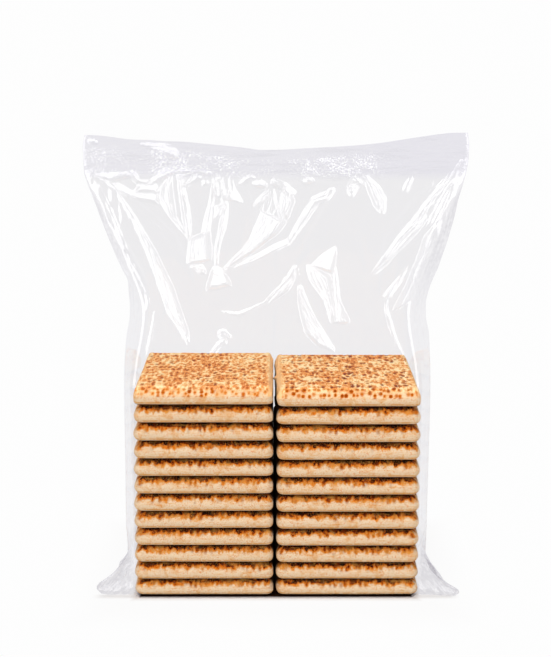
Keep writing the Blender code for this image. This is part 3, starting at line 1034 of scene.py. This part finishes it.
def pricks(flat, seed):
    """The pricked holes near each point of a crust laid flat: the distance to the nearest, how
    much farther the second is, and the nearest one's size and depth."""
    table = np.random.default_rng(seed).random((64, 64, 4))
    cell = np.floor(flat / DOCK_PITCH).astype(int)
    nearest, second = np.full(len(flat), 99.0), np.full(len(flat), 99.0)
    size, depth = np.zeros(len(flat)), np.zeros(len(flat))
    for dx in (-1, 0, 1):
        for dy in (-1, 0, 1):
            there = cell + (dx, dy)
            chance = table[there[:, 0] % 64, there[:, 1] % 64]
            centre = (there + 0.5 + (chance[:, :2] - 0.5) * DOCK_STRAY) * DOCK_PITCH
            away = np.linalg.norm(flat - centre, axis=1)
            closer = away < nearest
            second = np.where(closer, nearest, np.minimum(second, away))
            nearest = np.where(closer, away, nearest)
            size = np.where(closer, 0.80 + 0.65 * chance[:, 2], size)
            depth = np.where(closer, chance[:, 3], depth)
    return nearest, second - nearest, size, depth


class Bread(NamedTuple):
    """One bread: its middle, its turn in degrees, its size, on which side its gap is (1 right, -1
    left), how that side slants, and how much darker its rim is if it is the top one."""

    name: str
    middle: tuple
    turn: float
    width: float
    thickness: float
    gap_side: int
    slant: float
    rim_heat: float
    seed: int
    is_top: bool


def plain_bread(half, corner, bread):
    """Rings of points up the side, then the top if it can be seen. Gives the points, where each
    lies on the crust laid flat, its outward direction, and the faces."""
    fine, rows = TOP_STEPS if bread.is_top else COVERED_STEPS
    outline, outward = rounded_square(square_loop(fine), half, corner)
    profile = side_profile(bread.thickness, rows)
    lengths = np.linalg.norm(np.diff(profile, axis=0), axis=1)
    from_top = np.append(np.cumsum(lengths[::-1])[::-1], 0.0)
    # The edge is drawn in more on the stack's outer side than along the gap, and on a top bread
    # mostly at the front and the back.
    outer = -outward[:, :1] * bread.gap_side
    taper = 1 + 0.35 * np.clip(outer, 0, 1) - 0.25 * np.clip(-outer, 0, 1)
    stretch = DOCK_STRETCH
    if bread.is_top:
        taper = 0.40 + 0.60 * np.clip(-outward[:, 1:], 0, 1) + 0.45 * np.clip(outward[:, 1:], 0, 1)
        stretch = TOP_DOCK_STRETCH
    shoulder = outline - outward * taper * profile[-1, 0]
    rings, laid_flat = [], []
    for (inset, height), reach in zip(profile, from_top):
        ring = outline - outward * taper * inset
        rings.append(np.column_stack([ring, np.full(len(ring), height)]))
        laid_flat.append(shoulder * (1, TOP_DEPTH_SHARE) + outward * reach * stretch)
    push = np.tile(outward, (len(profile), 1))
    faces = faces_between(len(profile), 4 * fine) + [list(range(4 * fine))[::-1]]
    top_first, top_end = len(push) - 4 * fine, len(push)
    if bread.is_top:
        inner = filled_square(shoulder, fine).reshape(-1, 2)
        rings.append(np.column_stack([inner, np.full(len(inner), bread.thickness)]))
        laid_flat.append(inner * (1, TOP_DEPTH_SHARE))
        push = np.vstack([push, np.zeros(inner.shape)])
        faces += cap_faces(top_first, top_end, fine)
    else:
        faces.append(list(range(top_first, top_end)))
    return np.vstack(rings), np.vstack(laid_flat), push, faces


def toasting(half, bread, points, flat, push_x):
    """What the crust's material reads at each point of a bread."""
    seed, is_top = bread.seed, bread.is_top
    here = points + bread.middle
    rise = points[:, 2] / bread.thickness
    on_top, on_rim = ramp(rise, 0.93, 0.995), ramp(rise, 0.46, 0.56)
    stray = np.column_stack([wavy(here, (9, 9, 9), seed + shift) for shift in (1.7, 5.9)])
    nearest, between, size, depth = pricks(flat + stray * on_top[:, None] * 2.2, seed)
    # A top bread's side edges are paler: partly its own pale crust, partly painted light where the edge
    # turns into the gap's shade.
    pale_and_lit_edge = ramp(np.abs(points[:, 0]), half - 7, half - 3) * is_top

    # The rim is darkest near its middle and at its ends, in streaks that the whole stack shares.
    heat = 0.24 * np.exp(-(((points[:, 0] + 4) / 10) ** 2)) + 0.30 * wavy(here, (15, 15, 400), 3.3)
    heat += 0.16 * wavy(here, (9, 9, 9), seed + 2.2) - 0.08 + bread.rim_heat * is_top
    heat += (0.16 - 0.22 * is_top) * ramp(np.abs(points[:, 0]), half - 13, half - 1)
    # Only the deeper holes of the top are dark, but all those along the rim.
    sharp = np.clip(depth * 2.2 - 0.8, 0, 1) * on_top + (0.35 + 0.65 * depth) * (1 - on_top)
    pit = np.clip(1.5 - nearest / size, 0, 1) * sharp * on_rim
    pit *= np.clip(0.75 + heat * 1.6, 0.2, 1.4) * (1 - 0.7 * pale_and_lit_edge * on_top)
    halo = np.clip(1.3 - nearest / 1.6, 0, 1) * (0.4 + 0.6 * depth) * on_rim
    # Painted shade: the crust facing the gap is darkened towards char, apart from its front corner and
    # a top bread's upper edge.
    painted_gap_shade = bread.gap_side * push_x * ramp(points[:, 1], -54, -44)
    painted_gap_shade *= 1 - ramp(rise, 0.45, 0.7) * is_top
    turned = np.abs(push_x)
    return {
        "rise": rise,
        "pit": pit,
        "halo": halo * (1 - 0.6 * pale_and_lit_edge * on_top),
        "ridge": np.maximum(1 - ramp(between, 0.1, 1.3), pale_and_lit_edge * 0.9),
        "heat": heat,
        "top": ramp(rise, 0.66 - 0.30 * turned, 0.97 - 0.2 * turned) * is_top,
        "painted_gap_shade": np.clip(painted_gap_shade, 0, 1),
        # Marks the top bread, whose side the crust paints lighter as it is lit.
        "lit_top_bread": np.full(len(points), float(is_top)),
        "pale_and_lit_edge": pale_and_lit_edge * on_rim,
    }


def add_relief(half, bread, points, push, marks):
    """Lets a bread's side wander, sinks its pricked holes and raises what lies between them."""
    seed, rise, pit = bread.seed, marks["rise"], marks["pit"]
    here = points + bread.middle
    on_top = ramp(rise, 0.93, 0.995)
    wander = wavy(here, (34, 34, 18), seed) * SIDE_WANDER
    wander += wavy(here, (9, 9, 9), seed + 4.4) * FINE_WANDER
    touching = ramp(bread.gap_side * push[:, 0], 0.6, 1.0) * (bread.middle[2] > BLOCK_Z * 0.7)
    wander += touching * wavy(here, (9, 16, 5), 2.5) * GAP_BULGE
    pinch = np.exp(-(((points[:, 1] + 2) / 3) ** 2) - ((rise - 0.6) / 0.1) ** 2)
    wander += touching * pinch * bread.is_top * GAP_PINCH
    wander -= pit * PIT_DEPTH * (1 - on_top)
    points[:, :2] += push * wander[:, None]
    if bread.is_top:
        inside = 1 - np.abs(points[:, :2]).max(axis=1) / half
        up = wavy(here, (6.5, 6.5, 6.5), seed + 8.8) * BUBBLE_HEIGHT - pit * PIT_DEPTH
        up += marks["ridge"] * RIDGE_HEIGHT + CROWN_HEIGHT * np.clip(inside * 4, 0, 1)
        points[:, 2] += up * on_top


def placed(half, bread, points):
    """A bread's points brought to its width and slant, turned, and set in its stack."""
    side, turn = bread.gap_side, math.radians(bread.turn)
    x, y = points[:, 0] * bread.width / (half * 2), points[:, 1]
    x += side * bread.slant * y * np.clip(0.5 + side * x / (half * 2), 0, 1)
    across = bread.middle[0] + x * math.cos(turn) - y * math.sin(turn)
    deep = bread.middle[1] + x * math.sin(turn) + y * math.cos(turn)
    limits = sorted((GAP_X - side * TOUCH, -side * (BLOCK_X + STACK_OVERHANG)))
    return np.column_stack([np.clip(across, *limits), deep, points[:, 2] + bread.middle[2]])


def make_bread(settings, material, bread):
    """One bread: plain first, then toasted, given its relief and put in its place."""
    half = settings.side / MM / 2
    points, flat, push, faces = plain_bread(half, settings.corner / MM, bread)
    marks = toasting(half, bread, points, flat, push[:, 0])
    add_relief(half, bread, points, push, marks)
    # The paler, partly painted-light edge keeps only to the side along the gap.
    marks["pale_and_lit_edge"] *= ramp(bread.gap_side * points[:, 0], half - 7, half - 3)
    piece = piece_from(bread.name, placed(half, bread, points), faces, material, marks)
    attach(piece, "root")
    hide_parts(BAG_NODE)


class Stack(NamedTuple):
    """A stack of breads: its gap's side, its height, how wide its top and bottom breads are, and
    how much darker its top bread's rim is."""

    name: str
    gap_side: int
    height: float
    top_width: float
    bottom_width: float
    rim_heat: float


STACKS = (
    Stack("left", 1, 182.6, 114.3, 116.7, 0.04),
    Stack("right", -1, 180.8, 119.3, 120.6, 0.25),
)


def make_stack(settings, material, stack):
    """A stack's breads, from the floor up. The left one's lie straight along the gap, and the
    right one's leave it wider at the front than at the back."""
    rng = np.random.default_rng(41 + stack.gap_side)
    bottom = BREAD_FLOOR
    for level in range(BREADS_HIGH):
        share = level / (BREADS_HIGH - 1)
        pitch = stack.height / BREADS_HIGH * (1 + PRESSED * (2 * share - 1))
        if level == 0:
            pitch -= FOOT_PRESSED
        width = stack.bottom_width + (stack.top_width - stack.bottom_width) * share
        front, back = GAP_FRONT[0] + (GAP_FRONT[1] - GAP_FRONT[0]) * share, GAP_BACK
        if level >= OPEN_FROM_LEVEL:
            front, back = OPEN_GAP_FRONT, OPEN_GAP_BACK
        if stack.gap_side == 1:
            front, back = GAP_PRESS, GAP_PRESS
        else:
            width += RIGHT_FACE - (front + back) / 2
        across = GAP_X + (front + back) / 2 - stack.gap_side * width / 2
        make_bread(settings, material, Bread(
            name=f"{stack.name}_bread_{level + 1:02d}",
            middle=(across + rng.uniform(-0.15, 0.05), rng.uniform(-0.25, 0.25), bottom),
            turn=rng.uniform(0.0, 0.1),
            width=width,
            thickness=pitch - settings.air / MM,
            gap_side=stack.gap_side,
            slant=(front - back) / width,
            rim_heat=stack.rim_heat,
            seed=level * 7 + 200 * (1 - stack.gap_side) + 3,
            is_top=level == BREADS_HIGH - 1,
        ))
        bottom += pitch


# ---------------------------------------------------------------------------------------------
# The stage


def glow_material(name, tone, strength):
    material = bpy.data.materials.new(name)
    tree = Tree(material)
    tree.surface(tree.add("ShaderNodeEmission", inputs={"Color": tone, "Strength": strength}))
    return material


def floor_material(settings):
    """Matt and painted dark under the breads as a contact shadow, half matt beside them, where its
    darker grey paints part of the soft shadow round the bag, and as bright as the backdrop far off.
    """
    material = bpy.data.materials.new("floor")
    tree = Tree(material)
    place = tree.add("ShaderNodeSeparateXYZ", inputs={0: tree.place(MM, MM, MM)})
    forward = Wire(tree, place.socket.node.outputs["Y"]) * -1
    across = place.maths("ABSOLUTE", place) - BLOCK_X
    deep = place.maths("ABSOLUTE", forward) - BLOCK_Y
    ahead = forward - BLOCK_Y
    out = place.maths("MAXIMUM", across, deep)
    # Painted contact shadow under the breads.
    tone = tree.mix(settings.floor, (settings.painted_contact_shadow, out.ease(-1.9, -4.3)))
    matt = tree.add("ShaderNodeBsdfDiffuse", inputs={"Color": tone})
    glow = tree.add("ShaderNodeEmission", inputs={"Color": settings.backdrop})
    # The glow rises away from the bag, so near it the darker matt grey paints part of the soft shadow.
    far = out.ease(-3.0, 6.0, end=0.93) + out.ease(6.0, 60.0, end=0.07)
    # Painted shadow: under the ears' front the floor glows less, so its darker grey shows.
    painted_ear_shadow = across.ease(38.0, 26.0) * ahead.ease(-9.0, -5.0) * ahead.ease(1.5, -3.0)
    tree.surface(tree.blend(matt, glow, far * (1 - painted_ear_shadow * 0.45)))
    return material


def only_seen(thing, camera=False, glossy=False):
    """Hides a stage piece from every kind of ray but the ones named."""
    thing.visible_camera = camera
    thing.visible_glossy = glossy
    thing.visible_transmission = False
    thing.visible_diffuse = False
    thing.visible_shadow = False


def make_rectangle(name, across, deep, height, material):
    corners = [(x, y, height) for y in deep for x in across]
    rectangle = piece_from(name, corners, [[0, 1, 3, 2]], material)
    return rectangle


def make_floor(settings):
    """The floor, and a black card under it that the front panel reflects in place of it."""
    floor = make_rectangle("floor", (-6000, 6000), (-6000, 6000), 0.0, floor_material(settings))
    floor.visible_glossy = False
    black = glow_material("black_card", (0, 0, 0, 1), 0.0)
    only_seen(make_rectangle("black_card", (-450, 450), (-1700, -60), -5.0, black), glossy=True)


def make_dome_patch(name, radius, turn, lift, material):
    """A patch of a sphere round the object: turn and lift are its (from, to) angles in degrees,
    turn from straight in front towards the right, and lift above the floor."""
    turns = np.radians(np.linspace(*turn, 2 + int(abs(turn[1] - turn[0]) / 4)))
    lifts = np.radians(np.linspace(*lift, 2 + int(abs(lift[1] - lift[0]) / 4)))
    across, up = np.meshgrid(turns, lifts)
    ways = np.stack([np.sin(across) * np.cos(up), -np.cos(across) * np.cos(up), np.sin(up)], -1)
    points = ways.reshape(-1, 3) * radius + (0, 0, 250)
    patch = piece_from(name, points, faces_between(*across.shape, closed=False), material)
    return patch


def make_backdrop(settings):
    """A round white wall, seen straight or through the film, that lights nothing."""
    material = glow_material("backdrop", settings.backdrop, 1.0)
    only_seen(make_dome_patch("backdrop", 5000.0, (-180, 180), (-5, 90), material), camera=True)


def make_cards(settings):
    """Bright cards that only the film reflects: its facets light up, and its flat panels don't."""
    surround = glow_material("surround", settings.surround, 1.0)
    dim = glow_material("dim_card", settings.surround, 0.5)
    bright = glow_material("bright_card", (1, 1, 1, 1), settings.card_glow)
    cards = (
        ("surround", 2600.0, (-180, 180), (-89, 89), surround),
        ("dim_card", 2300.0, (-21, 21), (-10, 44), dim),
        ("left_card", 2200.0, (-52, -21), (-8, 62), bright),
        ("right_card", 2200.0, (21, 52), (-8, 62), bright),
        ("top_card", 2200.0, (-64, 64), (44, 80), bright),
        ("back_left_card", 2200.0, (201, 219), (8, 60), bright),
        ("back_right_card", 2200.0, (141, 159), (8, 60), bright),
    )
    for card in cards:
        only_seen(make_dome_patch(*card), glossy=True)


def add_light(name, kind, place, target, power, **shape):
    """A light that shapes the breads; the film reflects the cards instead of it."""
    data = bpy.data.lights.new(name, kind)
    data.energy = power
    for setting, value in shape.items():
        setattr(data, setting, value)
    light = bpy.data.objects.new(name, data)
    light.location = place
    light.rotation_euler = (Vector(target) - Vector(place)).to_track_quat("-Z", "Y").to_euler()
    light.visible_glossy = False
    bpy.context.scene.collection.objects.link(light)


def make_lights(settings):
    """A broad light from above the camera, a softbox at each side, and one overhead."""
    add_light("overhead", "SUN", (-0.6, -1.6, 2.2), (0, 0, 0), settings.sun, angle=math.radians(50))
    boxes = (
        ("left_softbox", (-1.05, -0.95, 0.85), (0.85, 1.1), settings.side_boxes),
        ("right_softbox", (1.05, -0.95, 0.85), (0.85, 1.1), settings.side_boxes),
        ("top_softbox", (0.0, -0.45, 1.55), (1.3, 0.6), settings.top_box),
    )
    for name, place, (width, height), power in boxes:
        shape = {"shape": "RECTANGLE", "size": width, "size_y": height}
        add_light(name, "AREA", place, (0, 0, 0.12), power, **shape)


def make_room(settings):
    world = bpy.data.worlds.new("room")
    bpy.context.scene.world = world
    tree = Tree(world)
    background = tree.add("ShaderNodeBackground", inputs={"Color": settings.room})
    tree.add("ShaderNodeOutputWorld", inputs={"Surface": background})


def make_camera(settings):
    data = bpy.data.cameras.new("camera")
    data.lens = settings.lens
    data.sensor_width = 36.0
    data.shift_x, data.shift_y = (shift / PICTURE_HEIGHT for shift in PICTURE_SHIFT)
    camera = bpy.data.objects.new("camera", data)
    camera.location = (0, -settings.camera_distance, settings.camera_height)
    camera.rotation_euler = (math.pi / 2 - settings.camera_pitch, 0, 0)
    bpy.context.scene.collection.objects.link(camera)
    bpy.context.scene.camera = camera


# ---------------------------------------------------------------------------------------------
# Operators, panel and registration


class BREADBAG_OT_stage(bpy.types.Operator):
    """Make the floor, the backdrop, the lights and the camera"""

    bl_idname = "breadbag.stage"
    bl_label = "Make the stage"

    def execute(self, context):
        settings = context.scene.breadbag_stage
        for make in (make_floor, make_backdrop, make_room, make_cards, make_lights, make_camera):
            make(settings)
        context.scene.view_settings.view_transform = "Standard"
        return {"FINISHED"}


class BREADBAG_OT_film(bpy.types.Operator):
    """Make the clear film of the bag"""

    bl_idname = "breadbag.film"
    bl_label = "Make the film"

    def execute(self, context):
        make_film(context.scene.breadbag_film)
        return {"FINISHED"}


class BREADBAG_OT_breads(bpy.types.Operator):
    """Make both stacks of breads"""

    bl_idname = "breadbag.breads"
    bl_label = "Make the breads"

    def execute(self, context):
        settings = context.scene.breadbag_bread
        material = crust_material(settings)
        for stack in STACKS:
            make_stack(settings, material, stack)
        return {"FINISHED"}


class BREADBAG_PT_panel(bpy.types.Panel):
    """The bag's steps and settings in the sidebar"""

    bl_idname = "BREADBAG_PT_panel"
    bl_label = "Bag of Square Breads"
    bl_space_type = "VIEW_3D"
    bl_region_type = "UI"
    bl_category = "Bread Bag"

    def draw(self, context):
        for operator, group in STEPS:
            self.layout.operator(operator)
            settings = getattr(context.scene, group)
            for name in settings.__annotations__:
                self.layout.prop(settings, name)


STEPS = (
    ("breadbag.stage", "breadbag_stage"),
    ("breadbag.breads", "breadbag_bread"),
    ("breadbag.film", "breadbag_film"),
)
GROUPS = {
    "breadbag_stage": StageSettings,
    "breadbag_bread": BreadSettings,
    "breadbag_film": FilmSettings,
}
CLASSES = (
    StageSettings,
    BreadSettings,
    FilmSettings,
    BREADBAG_OT_stage,
    BREADBAG_OT_breads,
    BREADBAG_OT_film,
    BREADBAG_PT_panel,
)


def register():
    for each in CLASSES:
        bpy.utils.register_class(each)
    for name, group in GROUPS.items():
        setattr(bpy.types.Scene, name, bpy.props.PointerProperty(type=group))


def unregister():
    for name in GROUPS:
        delattr(bpy.types.Scene, name)
    for each in reversed(CLASSES):
        bpy.utils.unregister_class(each)


def main():
    register()
    bpy.ops.breadbag.stage()
    bpy.ops.breadbag.breads()
    bpy.ops.breadbag.film()


if __name__ == "__main__":
    main()
